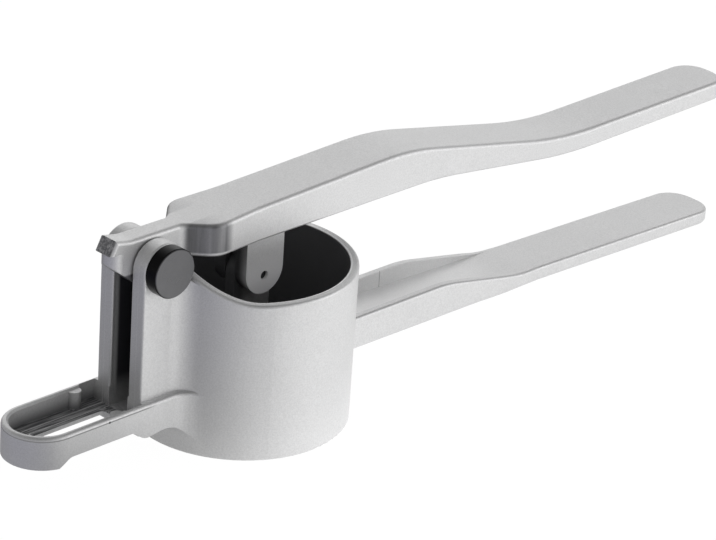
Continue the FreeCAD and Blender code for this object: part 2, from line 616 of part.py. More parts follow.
def below_nose():
    """What is taken off below the nose's end, which leaves the chin round, seen from above."""
    chin_x = HINGE_X - NOSE_CHIN_OUT
    low, high = HINGE_Z - HUB_R, HINGE_Z + NOSE_LOW_RISE
    block = box(HINGE_X - NOSE_LOW_OUT - OVER, chin_x + HUB_HALF, -EAR_IN, EAR_IN, low, high)
    return block.cut(plan_prism(racetrack(HUB_HALF, chin_x, HINGE_X), low - OVER, high + OVER))


def lever_body():
    """Lever from its nose to its tip, where the side outline and the plan outline meet."""
    flank = lever_flank().extrude(FreeCAD.Vector(0, 2 * SHOULDER_HALF, 0))
    body = flank.common(plan_prism(lever_plan(), 0, BIG))
    body = body.makeFillet(LEVER_TOP_ROUND, skin_edges(body, 1, -BIG))
    return body.makeFillet(LEVER_UNDER_ROUND, skin_edges(body, -1, NECK_END_X)).cut(below_nose())


def lever_channel():
    """Hollow underside of the lever."""
    front, crest, saddle, _ = lever_top_points()

    def under_top(x):
        rise = (crest[1] - front[1]) / (crest[0] - front[0])
        fall = (saddle[1] - crest[1]) / (saddle[0] - crest[0])
        line = crest[1] + (x - crest[0]) * (rise if x < crest[0] else fall)
        return line - LEVER_SKIN

    low = LEVER_UNDER - SADDLE_DROP
    side = [(CHANNEL_START_X, low, 0),
            (CHANNEL_START_X, under_top(CHANNEL_START_X), CHANNEL_ROUND),
            (CREST_X, under_top(CREST_X), CREST_R - LEVER_SKIN),
            (CHANNEL_END_X, under_top(CHANNEL_END_X), CHANNEL_ROUND), (CHANNEL_END_X, low, 0)]
    return side_prism(side, -LUG_OUT, LUG_OUT)


def lug():
    """One lug under the lever, with a round bottom, that holds the plunger pin."""
    bottom = FORK_Z - LUG_DROP
    top = LEVER_UNDER + LEVER_DEPTH_FRONT - LEVER_SKIN / 2
    side = [(FORK_X - LUG_R, top, 0), (FORK_X + LUG_R, top, 0), (FORK_X + LUG_R, bottom, LUG_R),
            (FORK_X - LUG_R, bottom, LUG_R)]
    return side_prism(side, LUG_IN, LUG_OUT)


def press_lever():
    """The lever casting: hollow body, neck, hub, nose and the two lugs for the plunger."""
    one_lug = lug()
    lever = lever_body().cut(lever_channel()).fuse([one_lug, mirrored(one_lug)])
    hub_out, lug_out = HUB_HALF + OVER, LUG_OUT + OVER
    hinge_bore = cross_cylinder(PIN_R + PIN_FIT, -hub_out, hub_out, HINGE_X, HINGE_Z)
    fork_bore = cross_cylinder(FORK_PIN_R + FORK_PIN_FIT, -lug_out, lug_out, FORK_X, FORK_Z)
    return lever.cut([hinge_bore, fork_bore])


# ---------------------------------------------------------------- plunger

def plunger():
    """Plunger casting: a disc with bevelled edges on a web that hangs from the lever's lugs."""
    disc = upright_cylinder(DISC_R, DISC_LOW, DISC_HIGH, DISC_OFFSET)
    middle_z = (DISC_LOW + DISC_HIGH) / 2
    disc = disc.makeChamfer(DISC_EDGE, edges_where(disc, lambda p: abs(p.z - middle_z) > DISC_EDGE))
    half_t = LUG_IN - WEB_SIDE_GAP
    left, right = FORK_X - WEB_HALF, FORK_X + WEB_HALF
    foot = DISC_HIGH - DISC_T / 2
    spread_z = DISC_HIGH + WEB_FOOT_H
    web = side_prism([(left - WEB_FOOT_SPREAD, foot, 0), (left, spread_z, WEB_FOOT_R),
                      (left, FORK_Z + WEB_HALF, WEB_HALF), (right, FORK_Z + WEB_HALF, WEB_HALF),
                      (right, spread_z, WEB_FOOT_R), (right + WEB_FOOT_SPREAD, foot, 0)],
                     -half_t, half_t)
    end_z, crown_z = DISC_HIGH + CROSS_RIB_END_H, DISC_HIGH + CROSS_RIB_H
    rib = outline([(-CROSS_RIB_REACH, foot, 0), (-CROSS_RIB_REACH, end_z, 0), (-half_t, crown_z, 0),
                   (half_t, crown_z, 0), (CROSS_RIB_REACH, end_z, 0), (CROSS_RIB_REACH, foot, 0)],
                  yz(DISC_OFFSET - CROSS_RIB_T / 2)).extrude(FreeCAD.Vector(CROSS_RIB_T, 0, 0))
    bore = cross_cylinder(FORK_PIN_R + FORK_PIN_FIT, -half_t - OVER, half_t + OVER, FORK_X, FORK_Z)
    return disc.fuse([web, rib]).cut(bore)


# ---------------------------------------------------------------- pins and caps

def hinge_pin():
    """Steel pin through both uprights and the lever's hub, its near end in the cap."""
    near_y = -EAR_OUT - CAP_GAP - PIN_IN_CAP
    far_y = EAR_OUT + CAP_GAP + RING_T + PIN_PAST_RING
    pin = cross_cylinder(PIN_R, near_y, far_y, HINGE_X, HINGE_Z)
    return pin.makeChamfer(PIN_DOME, edges_where(pin, lambda p: abs(p.y - far_y) < NEAR))


def retaining_ring():
    """Slightly coned steel ring, pushed on the far end of the hinge pin to hold it."""
    seat_y = EAR_OUT + CAP_GAP
    place = yz(HINGE_X)
    bore_r = PIN_R + CAP_FIT
    section = [(seat_y, HINGE_Z + bore_r, 0), (seat_y, HINGE_Z + RING_R, 0),
               (seat_y + RING_EDGE_T, HINGE_Z + RING_R, 0), (seat_y + RING_T, HINGE_Z + bore_r, 0)]
    return outline(section, place).revolve(place(0, HINGE_Z), FreeCAD.Vector(0, 1, 0), 360)


def hinge_cap():
    """Round cap on the near end of the hinge pin."""
    inner = -EAR_OUT - CAP_GAP
    outer = inner - CAP_T
    cap = cross_cylinder(CAP_R, outer, inner, HINGE_X, HINGE_Z)
    cap = cap.makeChamfer(CAP_BEVEL, edges_where(cap, lambda p: abs(p.y - outer) < NEAR))
    socket = cross_cylinder(PIN_R + CAP_FIT, inner - PIN_IN_CAP, inner + OVER, HINGE_X, HINGE_Z)
    return cap.cut(socket)


def plunger_pin():
    """Steel pin through the lugs and the plunger's web, sunk in the lugs."""
    half = LUG_OUT - FORK_PIN_SUNK
    return cross_cylinder(FORK_PIN_R, -half, half, FORK_X, FORK_Z)


NODES = {
    "pot_body": pot_body(),
    "sieve_plate": sieve_plate(),
    "press_lever": press_lever(),
    "plunger": plunger(),
    "hinge_pin": hinge_pin(),
    "hinge_cap": hinge_cap(),
    "retaining_ring": retaining_ring(),
    "plunger_pin": plunger_pin(),
}

for name, shape in NODES.items():
    solids = shape.Solids
    print(name, len(solids), "solid(s)", round(shape.Volume / 1000, 2), "cm3", shape.isValid())
    result = solids[0] if len(solids) == 1 else Part.makeCompound(solids)
    result.exportStep(os.path.join("parts", name + ".step"))
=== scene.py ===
"""Dresses the spaetzle maker: finishes for its castings, pins, cap and sieve, a floor, light and a camera."""

from __future__ import annotations

import json
import logging
import math
from dataclasses import dataclass
from enum import Enum
from typing import Any

import bpy
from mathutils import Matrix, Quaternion, Vector

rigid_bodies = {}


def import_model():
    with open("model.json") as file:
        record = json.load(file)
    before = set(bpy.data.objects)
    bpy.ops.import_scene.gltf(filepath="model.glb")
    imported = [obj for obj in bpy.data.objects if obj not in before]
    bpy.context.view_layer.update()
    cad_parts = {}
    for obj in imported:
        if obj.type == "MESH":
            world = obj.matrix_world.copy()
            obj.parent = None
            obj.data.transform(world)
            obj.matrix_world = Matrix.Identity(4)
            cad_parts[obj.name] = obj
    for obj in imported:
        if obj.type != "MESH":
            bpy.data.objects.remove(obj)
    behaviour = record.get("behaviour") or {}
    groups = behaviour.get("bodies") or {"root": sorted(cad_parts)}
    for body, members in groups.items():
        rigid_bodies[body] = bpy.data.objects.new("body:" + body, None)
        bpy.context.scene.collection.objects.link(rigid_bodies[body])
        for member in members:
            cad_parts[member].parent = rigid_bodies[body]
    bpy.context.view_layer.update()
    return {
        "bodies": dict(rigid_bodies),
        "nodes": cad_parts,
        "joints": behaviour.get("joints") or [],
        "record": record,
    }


log = logging.getLogger("spaetzle_maker")

MM = 0.001  # the model is in metres, and the pieces' sizes here are written in millimetres
HINGE = (-52.0, 0.0, 79.0)  # middle of the hinge pin
LOOP_END_X = -99.2  # middle of the rest loop's round end
ALUMINIUM = (0.715, 0.715, 0.717)
ALUMINIUM_ROUGHNESS = 0.52
NOISE_SPAN = (0.3, 0.7)  # where nearly all of a noise's values lie

Socket = bpy.types.NodeSocket
Colour = tuple[float, float, float]
Pair = tuple[float, float]
Point = tuple[float, float, float]


# ---------------------------------------------------------------- node sheets


class Maths(Enum):
    """What a Math node does with its values."""

    ADD = "ADD"
    SUBTRACT = "SUBTRACT"
    MULTIPLY = "MULTIPLY"
    POWER = "POWER"
    ROOT = "SQRT"
    SIZE = "ABSOLUTE"
    LOWER = "MINIMUM"
    HIGHER = "MAXIMUM"


class Mixed(Enum):
    """What a Mix node mixes: its data type, its inputs for the share and the two values, its output."""

    VALUES = ("FLOAT", (0, 2, 3), 0)
    COLOURS = ("RGBA", (0, 6, 7), 2)


class NodeSheet:
    """Adds and joins shader nodes in one node tree."""

    def __init__(self, tree: bpy.types.NodeTree) -> None:
        """Empties the tree and keeps it."""
        self.tree = tree
        tree.nodes.clear()

    def add(self, kind: str, **settings: Any) -> bpy.types.Node:
        """Adds a node.

        Args:
            kind: the node's type name, without its ShaderNode prefix where it has one.
            settings: attributes of the node to set.

        Returns:
            The new node.
        """
        name = kind if kind.startswith("NodeGroup") else "ShaderNode" + kind
        node = self.tree.nodes.new(name)
        for key, value in settings.items():
            setattr(node, key, value)
        return node

    def put(self, value: Any, socket: Socket) -> None:
        """Feeds an input.

        Args:
            value: an output to join to it, or the number, vector or colour to set.
            socket: the input.
        """
        if isinstance(value, Socket):
            self.tree.links.new(value, socket)
        else:
            socket.default_value = value

    def math(self, operation: Maths, *values: Any) -> Socket:
        """Adds a Math node.

        Args:
            operation: what it does.
            values: its inputs, in order.

        Returns:
            Its output.
        """
        node = self.add("Math", operation=operation.value)
        for value, socket in zip(values, node.inputs):
            self.put(value, socket)
        return node.outputs[0]

    def product(self, first: Any, *others: Any) -> Any:
        """Multiplies values with each other.

        Args:
            first: the first value.
            others: the rest.

        Returns:
            The product.
        """
        for other in others:
            first = self.math(Maths.MULTIPLY, first, other)
        return first

    def highest(self, first: Any, *others: Any) -> Any:
        """Finds the highest of some values.

        Args:
            first: the first value.
            others: the rest.

        Returns:
            The highest value.
        """
        for other in others:
            first = self.math(Maths.HIGHER, first, other)
        return first

    def diagonal(self, first: Any, second: Any) -> Socket:
        """Returns the length of the diagonal over two lengths at right angles."""
        squares = (self.math(Maths.POWER, first, 2.0), self.math(Maths.POWER, second, 2.0))
        return self.math(Maths.ROOT, self.math(Maths.ADD, *squares))

    def fade(self, value: Any, start: Any, end: Any, low: float = 0.0, high: float = 1.0) -> Socket:
        """Turns value smoothly from low at start to high at end.

        Args:
            value: what is turned.
            start: the value that gives low.
            end: the value that gives high, above or below start.
            low: the result up to start.
            high: the result from end on.

        Returns:
            The result's socket.
        """
        node = self.add("MapRange", interpolation_type="SMOOTHSTEP")
        ends = {"Value": value, "From Min": start, "From Max": end, "To Min": low, "To Max": high}
        for name, item in ends.items():
            self.put(item, node.inputs[name])
        return node.outputs[0]

    def parts(self, vector: Any) -> tuple[Socket, ...]:
        """Splits a vector.

        Args:
            vector: what is split.

        Returns:
            Its X, Y and Z.
        """
        node = self.add("SeparateXYZ")
        self.put(vector, node.inputs[0])
        return tuple(node.outputs)

    def vector(self, x: Any = 0.0, y: Any = 0.0, z: Any = 0.0) -> Socket:
        """Joins three values to a vector.

        Args:
            x: its X.
            y: its Y.
            z: its Z.

        Returns:
            The vector's socket.
        """
        node = self.add("CombineXYZ")
        for value, socket in zip((x, y, z), node.inputs):
            self.put(value, socket)
        return node.outputs[0]

    def length(self, vector: Any) -> Socket:
        """Measures a vector.

        Args:
            vector: what is measured.

        Returns:
            Its length.
        """
        node = self.add("VectorMath", operation="LENGTH")
        self.put(vector, node.inputs[0])
        return node.outputs["Value"]

    def distance(self, vector: Any, point: Vector) -> Socket:
        """Measures how far away a point is.

        Args:
            vector: the place that is shaded.
            point: where the distance is counted from.

        Returns:
            The distance.
        """
        node = self.add("VectorMath", operation="DISTANCE")
        self.put(vector, node.inputs[0])
        node.inputs[1].default_value = point
        return node.outputs["Value"]

    def mapped(self, vector: Any, setting: str, value: Any) -> Socket:
        """Moves or stretches a vector with a Mapping node.

        Args:
            vector: what is moved or stretched.
            setting: Location or Scale.
            value: that setting's value.

        Returns:
            The new vector's socket.
        """
        node = self.add("Mapping")
        self.put(vector, node.inputs["Vector"])
        node.inputs[setting].default_value = value
        return node.outputs[0]

    def mix(self, kind: Mixed, *values: Any) -> Socket:
        """Adds a Mix node.

        Args:
            kind: what it mixes.
            values: the share, 0 for the first and 1 for the second, and then the two to mix.

        Returns:
            Its output.
        """
        data_type, places, result = kind.value
        node = self.add("Mix", data_type=data_type)
        for value, place in zip(values, places):
            self.put(value, node.inputs[place])
        return node.outputs[result]

    def value_blend(self, share: Any, first: Any, second: Any) -> Socket:
        """Mixes two values: a share of 0 gives the first and 1 the second."""
        return self.mix(Mixed.VALUES, share, first, second)

    def blend(self, share: Any, first: Any, second: Any) -> Socket:
        """Mixes two colours: a share of 0 gives the first and 1 the second."""
        return self.mix(Mixed.COLOURS, share, first, second)

    def noise(self, vector: Any, scale: Any, detail: float = 2.0, roughness: float = 0.5) -> Socket:
        """Adds a noise.

        Args:
            vector: where it is read, in metres.
            scale: waves per metre.
            detail: how many times a finer noise is added.
            roughness: how strong each finer noise is.

        Returns:
            Its value, from 0 to 1.
        """
        node = self.add("TexNoise")
        settings = {"Vector": vector, "Scale": scale, "Detail": detail, "Roughness": roughness}
        for name, value in settings.items():
            self.put(value, node.inputs[name])
        return node.outputs["Fac"]

    def bump(self, height: Any, depth: float, strength: float) -> Socket:
        """Adds a bump.

        Args:
            height: its height at each point, from 0 to 1.
            depth: millimetres from 0 to 1.
            strength: how much of it shows.

        Returns:
            The bumped normal.
        """
        node = self.add("Bump")
        for name, value in {"Strength": strength, "Distance": depth * MM, "Height": height}.items():
            self.put(value, node.inputs[name])
        return node.outputs["Normal"]


# ---------------------------------------------------------------- effects that finishes share


@dataclass(frozen=True)
class Port:
    """One input or output of an effect."""

    name: str
    kind: str = "Float"
    value: float | None = None


class Effect:
    """A shader node group that several finishes share."""

    name = "effect"
    inputs: tuple[Port, ...] = ()
    outputs: tuple[Port, ...] = ()

    def group(self) -> bpy.types.NodeTree:
        """Builds the group the first time.

        Returns:
            The group, as it was built then.
        """
        made = bpy.data.node_groups.get(self.name)
        if made is not None:
            return made
        tree = bpy.data.node_groups.new(self.name, "ShaderNodeTree")
        for ports, side in ((self.inputs, "INPUT"), (self.outputs, "OUTPUT")):
            for port in ports:
                kind = "NodeSocket" + port.kind
                socket = tree.interface.new_socket(port.name, in_out=side, socket_type=kind)
                if port.value is not None:
                    socket.default_value = port.value
        sheet = NodeSheet(tree)
        start, end = sheet.add("NodeGroupInput"), sheet.add("NodeGroupOutput")
        for name, value in self.build(sheet, start.outputs).items():
            sheet.put(value, end.inputs[name])
        return tree

    def build(self, sheet: NodeSheet, given: Any) -> dict[str, Any]:
        """Makes the effect's nodes from its inputs. Each effect has its own way."""
        raise NotImplementedError

    def place(self, sheet: NodeSheet, **values: Any) -> Any:
        """Puts the effect in a material.

        Args:
            sheet: the material's sheet.
            values: the material's own value for each input, by the input's name in small letters.

        Returns:
            The effect's outputs, by name.
        """
        node = sheet.add("Group", node_tree=self.group())
        for name, value in values.items():
            sheet.put(value, node.inputs[name.replace("_", " ").capitalize()])
        return node.outputs


class BlastedGrain(Effect):
    """The fine, sparkling grain that shot blasting leaves on a casting, over faint clouds from the mould."""

    name = "blasted_grain"
    inputs = (Port("Position", "Vector"), Port("Grains per metre", value=3600.0),
              Port("Clouds per metre", value=60.0))
    outputs = (Port("Grain"), Port("Clouds"), Port("Height"))

    coarse_scale = 0.42  # waves of the coarse grain for each one of the fine grain
    coarse_share = 0.4
    grain_span = (0.36, 0.64)

    def build(self, sheet: NodeSheet, given: Any) -> dict[str, Any]:
        """Makes two sizes of grain and the clouds.

        Args:
            sheet: the group's own sheet.
            given: the group's inputs, by name.

        Returns:
            The value for each output, by name.
        """
        position, scale = given["Position"], given["Grains per metre"]
        fine = sheet.noise(position, scale, detail=3.0, roughness=0.65)
        coarse = sheet.noise(position, sheet.product(scale, self.coarse_scale))
        clouds = sheet.noise(position, given["Clouds per metre"], detail=4.0, roughness=0.6)
        grain = sheet.math(Maths.ADD, sheet.product(fine, 1.0 - self.coarse_share),
                           sheet.product(coarse, self.coarse_share))
        return {"Grain": sheet.fade(grain, *self.grain_span),
                "Clouds": sheet.fade(clouds, *NOISE_SPAN), "Height": grain}


class TurnedRings(Effect):
    """Fine rings that a lathe leaves on a face, about an axis along Y through the origin of Position."""

    name = "turned_rings"
    inputs = (Port("Position", "Vector"), Port("Rings per metre", value=2600.0))
    outputs = (Port("Rings"), Port("Radius"))

    def build(self, sheet: NodeSheet, given: Any) -> dict[str, Any]:
        """Makes noise that depends on the distance from the axis.

        Args:
            sheet: the group's own sheet.
            given: the group's inputs, by name.

        Returns:
            The value for each output, by name.
        """
        x, _, z = sheet.parts(given["Position"])
        radius = sheet.length(sheet.vector(x=x, z=z))
        rings = sheet.noise(sheet.vector(x=radius), given["Rings per metre"], detail=3.0, roughness=0.7)
        return {"Rings": rings, "Radius": radius}


# ---------------------------------------------------------------- places on a piece


class Measure(Enum):
    """What a limit of a place is measured along."""

    X = "x"
    Y = "y"
    Z = "z"
    ASIDE = "distance from the press's middle plane"
    RADIUS = "distance from the pot's axis"
    LOOP = "distance from the rest loop's middle line"


class Ruler:
    """Measures the points of a piece from their object coordinates."""

    def __init__(self, sheet: NodeSheet, position: Socket) -> None:
        """Starts with the three coordinates.

        Args:
            sheet: the material's sheet.
            position: the piece's object coordinates.
        """
        self.sheet = sheet
        self.position = position
        self.made: dict[Measure, Socket] = dict(zip((Measure.X, Measure.Y, Measure.Z), sheet.parts(position)))

    def read(self, measure: Measure) -> Socket:
        """Reads a measure, and makes its nodes the first time.

        Args:
            measure: what is measured.

        Returns:
            The measure in metres.
        """
        if measure not in self.made:
            self.made[measure] = self.make(measure)
        return self.made[measure]

    def make(self, measure: Measure) -> Socket:
        """Makes the nodes of a measure that isn't a plain coordinate.

        Args:
            measure: one of the three distances.

        Returns:
            The measure in metres.
        """
        x, y = self.made[Measure.X], self.made[Measure.Y]
        if measure is Measure.ASIDE:
            return self.sheet.math(Maths.SIZE, y)
        if measure is Measure.RADIUS:
            return self.sheet.diagonal(x, y)
        past_end = self.sheet.math(Maths.SUBTRACT, x, LOOP_END_X * MM)
        return self.sheet.diagonal(self.sheet.math(Maths.LOWER, past_end, 0.0), y)


@dataclass(frozen=True)
class Limit:
    """One soft limit of a place."""

    measure: Measure
    start: float  # millimetres
    full: float  # millimetres, above or below start
    low: float = 0.0  # share before start
    high: float = 1.0  # share beyond full


@dataclass(frozen=True)
class Place:
    """A place on a piece, found by its limits."""

    limits: tuple[Limit, ...]

    def mask(self, ruler: Ruler) -> Any:
        """Multiplies the place's limits.

        Args:
            ruler: measures the piece's points.

        Returns:
            How much each point belongs to the place, from 0 to 1.
        """
        fades = [ruler.sheet.fade(ruler.read(limit.measure), limit.start * MM, limit.full * MM,
                                  limit.low, limit.high) for limit in self.limits]
        return ruler.sheet.product(*fades)


@dataclass(frozen=True)
class Mottle:
    """Uneven patches, or streaks where they are stretched."""

    per_metre: float
    span: Pair
    shares: Pair
    detail: float = 3.0
    roughness: float = 0.6
    stretch: Point = (1.0, 1.0, 1.0)

    def mask(self, ruler: Ruler) -> Socket:
        """Makes the patches.

        Args:
            ruler: measures the piece's points.

        Returns:
            The patches' share at each point.
        """
        sheet = ruler.sheet
        noise = sheet.noise(sheet.mapped(ruler.position, "Scale", self.stretch), self.per_metre, self.detail,
                            self.roughness)
        return sheet.fade(noise, *self.span, *self.shares)


# ---------------------------------------------------------------- finishes


@dataclass(frozen=True)
class Finish:
    """A material with a name and a base colour, and the way its nodes are made."""

    name: str
    colour: Colour
    roughness: float
    metallic: float = 1.0

    def material(self) -> bpy.types.Material:
        """Builds the material the first time.

        Returns:
            The material, as it was built then.
        """
        made = bpy.data.materials.get(self.name)
        if made is not None:
            return made
        material = bpy.data.materials.new(self.name)
        material.use_nodes = True
        sheet = NodeSheet(material.node_tree)
        shader, out = sheet.add("BsdfPrincipled"), sheet.add("OutputMaterial")
        sheet.put(shader.outputs[0], out.inputs["Surface"])
        looks = {"Metallic": self.metallic, **self.paint(sheet, sheet.add("TexCoord").outputs["Object"])}
        for name, value in looks.items():
            sheet.put(value, shader.inputs[name])
        return material

    def paint(self, sheet: NodeSheet, position: Socket) -> dict[str, Any]:
        """Makes the colour, roughness and bump. Each kind of finish has its own way."""
        raise NotImplementedError

    def shade(self, factor: float) -> tuple[float, ...]:
        """Returns the base colour times a factor."""
        return (*(part * factor for part in self.colour), 1.0)


@dataclass(frozen=True)
class CastAlloy(Finish):
    """Blasted cast aluminium, with dark places and pale ones that a child class finds, mostly painted shade
    and painted light.
    """

    metallic: float = 0.88
    grains_per_metre: float = 3600.0
    clouds_per_metre: float = 60.0
    grain: float = 0.07
    clouds: float = 0.05
    cloud_shade: float = 0.6
    dull: float = 0.05  # roughness added in the grain's hollows
    shine: float = 0.06  # roughness taken off on the grain's tops
    depth: float = 0.05
    depth_strength: float = 0.23
    # the painted shade takes these three, and so do the pot's seam and pit
    dark_colour: Colour = (0.016, 0.016, 0.020)
    dark_roughness: float = 0.60
    dark_metallic: float = 0.0
    # the pale places take these two: painted light on the pot, a less metallic finish on the lever's lugs
    pale_colour: Colour = (1.0, 1.0, 1.0)
    pale_metallic: float = 0.88

    def paint(self, sheet: NodeSheet, position: Socket) -> dict[str, Any]:
        """Makes the grain, and the dark and pale places, which are mostly painted shade and painted light.

        Args:
            sheet: the material's sheet.
            position: the casting's object coordinates.

        Returns:
            The value for each input of the Principled BSDF, by name.
        """
        skin = BlastedGrain().place(sheet, position=position, grains_per_metre=self.grains_per_metre,
                                    clouds_per_metre=self.clouds_per_metre)
        ruler = Ruler(sheet, position)
        dark, pale = self.dark_places(ruler), self.pale_places(ruler)
        tone = sheet.blend(skin["Grain"], self.shade(1.0 - self.grain), self.shade(1.0 + self.grain / 2))
        tone = sheet.blend(sheet.product(skin["Clouds"], self.clouds), tone, self.shade(self.cloud_shade))
        tone = sheet.blend(pale, tone, (*self.pale_colour, 1.0))
        sheen = sheet.fade(skin["Grain"], 0.0, 1.0, self.roughness + self.dull, self.roughness - self.shine)
        metal = sheet.value_blend(pale, self.metallic, self.pale_metallic)
        return {"Base Color": sheet.blend(dark, tone, (*self.dark_colour, 1.0)),
                "Roughness": sheet.value_blend(dark, sheen, self.dark_roughness),
                "Metallic": sheet.value_blend(dark, metal, self.dark_metallic),
                "Normal": sheet.bump(skin["Height"], self.depth, self.depth_strength)}

    def dark_places(self, ruler: Ruler) -> Any:
        """Returns how dark each point is, from 0 to 1: painted shade, and a few real marks. A plain casting
        is dark nowhere.
        """
        return 0.0

    def pale_places(self, ruler: Ruler) -> Any:
        """Returns how pale each point is, from 0 to 1, such as painted light. A plain casting is pale
        nowhere.
        """
        return 0.0


@dataclass(frozen=True)
class PotAlloy(CastAlloy):
    """The pot's casting: painted shade in the bore, the gap between the uprights and the rest loop, and
    painted light in the channel and on the rim's inner edge.
    """

    # dark: painted shade in the bore and the gap between the uprights, and real marks: a mould seam inside
    # the far flange and a pit in the near rail
    bore: Place = Place((Limit(Measure.RADIUS, 40.25, 40.10, high=0.915),))
    gap: Place = Place((
        Limit(Measure.ASIDE, 5.30, 5.23), Limit(Measure.X, -60.9, -57.9), Limit(Measure.X, -40.5, -41.0),
        Limit(Measure.Z, 18.8, 18.9), Limit(Measure.Z, 19.0, 32.0, low=0.5)))
    seam: Place = Place((
        Limit(Measure.X, 85.75, 85.90), Limit(Measure.X, 86.25, 86.10), Limit(Measure.Y, 10.8, 10.9),
        Limit(Measure.Y, 11.4, 11.3), Limit(Measure.Z, 20.0, 20.5, high=0.5)))
    pit: Point = (-79.2, -15.0, 25.6)
    pit_edge: Pair = (0.55, 0.33)  # radii where the pit starts and where it is full

    # pale: painted light in the lower handle's channel, and a painted highlight along the edge inside the rim
    channel: Place = Place((
        Limit(Measure.ASIDE, 11.10, 11.03), Limit(Measure.X, 44.0, 45.0), Limit(Measure.X, 145.0, 115.0),
        Limit(Measure.Z, 16.6, 16.9, high=0.35)))
    rim_highlight: Place = Place((
        Limit(Measure.RADIUS, 40.2, 40.3), Limit(Measure.RADIUS, 41.0, 40.8), Limit(Measure.Z, 58.0, 60.0)))

    # the rest loop: streaky painted shade on its ledge and at the foot of its walls, left out along two
    # bright steps, and a line of painted shade round its top
    loop_inside: Place = Place((
        Limit(Measure.LOOP, 13.70, 13.62), Limit(Measure.X, -61.0, -62.5), Limit(Measure.Z, 18.8, 18.9)))
    loop_walls: Place = Place((Limit(Measure.Z, 19.0, 26.2, low=0.85, high=0.1),))
    loop_ledge: Place = Place((Limit(Measure.Z, 19.75, 19.65),))
    ledge_streaks: Mottle = Mottle(1300.0, (0.35, 0.65), (0.60, 0.95), detail=2.0, stretch=(0.06, 1.0, 1.0))
    ledge_steps: Pair = (5.1, 8.9)  # bright steps, counted from the loop's middle line
    step_edge: Pair = (0.12, 0.30)  # a step's half width, and where the dark is full again
    loop_top_line: Place = Place((
        Limit(Measure.Z, 25.2, 25.55), Limit(Measure.Z, 26.0, 25.65), Limit(Measure.LOOP, 14.2, 14.3),
        Limit(Measure.X, -55.0, -62.0, high=0.6)))

    def dark_places(self, ruler: Ruler) -> Any:
        """Finds the painted shade in the bore, the gap and the loop's inside, and a real seam and pit.

        Args:
            ruler: measures the pot's points.

        Returns:
            How dark each point is, from 0 to 1.
        """
        sheet = ruler.sheet
        off_pit = sheet.distance(ruler.position, Vector(self.pit) * MM)
        pit = sheet.fade(off_pit, *(edge * MM for edge in self.pit_edge))
        return sheet.highest(self.bore.mask(ruler), self.gap.mask(ruler), self.loop_shade_places(ruler),
                             self.seam.mask(ruler), pit)

    def pale_places(self, ruler: Ruler) -> Any:
        """Returns how pale each point is: painted light in the lower handle's channel and a painted highlight
        on the rim's inner edge.
        """
        return ruler.sheet.highest(self.channel.mask(ruler), self.rim_highlight.mask(ruler))

    def loop_shade_places(self, ruler: Ruler) -> Any:
        """Finds the painted shade in the loop: its streaky ledge, the foot of its walls and a line round its
        top edge, with two bright steps left out.

        Args:
            ruler: measures the pot's points.

        Returns:
            How dark each point is, from 0 to 1.
        """
        sheet = ruler.sheet
        share = sheet.value_blend(self.loop_ledge.mask(ruler), self.loop_walls.mask(ruler),
                                  self.ledge_streaks.mask(ruler))
        for step in self.ledge_steps:
            off = sheet.math(Maths.SIZE, sheet.math(Maths.SUBTRACT, ruler.read(Measure.LOOP), step * MM))
            share = sheet.product(share, sheet.fade(off, *(edge * MM for edge in self.step_edge)))
        return sheet.highest(sheet.product(share, self.loop_inside.mask(ruler)),
                             self.loop_top_line.mask(ruler))


